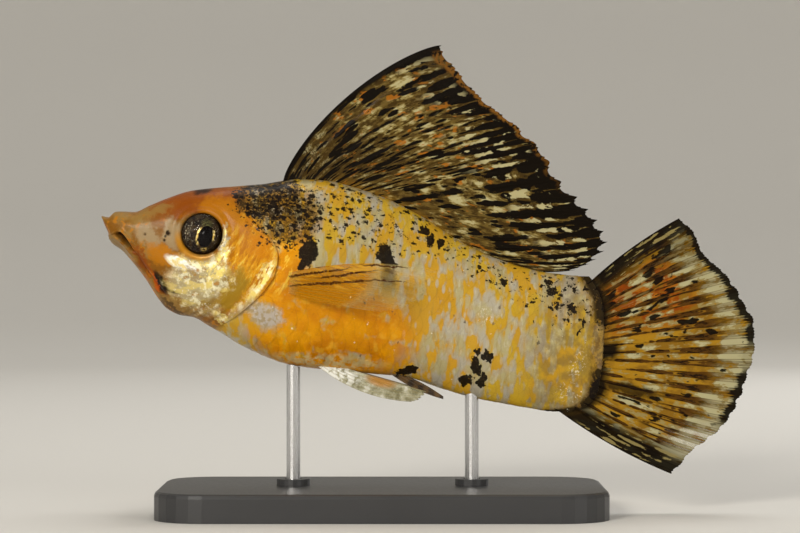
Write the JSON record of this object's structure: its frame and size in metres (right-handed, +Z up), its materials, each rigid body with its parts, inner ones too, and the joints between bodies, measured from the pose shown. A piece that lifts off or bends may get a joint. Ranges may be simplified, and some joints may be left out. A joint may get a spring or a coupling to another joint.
{
  "type": "giant sailfin molly, life-size display model",
  "caption": "Life-size giant sailfin molly with a raised sail-like back fin, swimming nose up, held over a flat plate by two short rods.",
  "frame": {"origin": "middle of the footprint on the surface that the stand's plate rests on", "axes": "+Z up, -X towards the fish's snout, +X towards its tail, -Y towards its left side"},
  "size_m": [0.1181, 0.043, 0.0841],
  "materials": {
    "skin": "wet scaled skin, gold and silver with black blotches",
    "eye": "polished clear dome over a dark iris with gold flecks",
    "mottled_fin": "thin translucent membrane with dark dashes between raised rays",
    "clear_fin": "thin clear membrane with fine raised rays",
    "stand_plate": "satin",
    "stand_rod": "brushed"
  },
  "bodies": {
    "root": {"head": "skin", "trunk": "skin", "tail_stalk": "skin", "eye_left": "eye", "eye_right": "eye", "dorsal_fin": "mottled_fin", "caudal_fin": "mottled_fin", "anal_fin": "mottled_fin", "pectoral_fin_left": "clear_fin", "pectoral_fin_right": "clear_fin", "pelvic_fin_left": "clear_fin", "pelvic_fin_right": "clear_fin", "stand_base": "stand_plate", "stand_rod_front": "stand_rod", "stand_rod_rear": "stand_rod"}
  },
  "joints": []
}
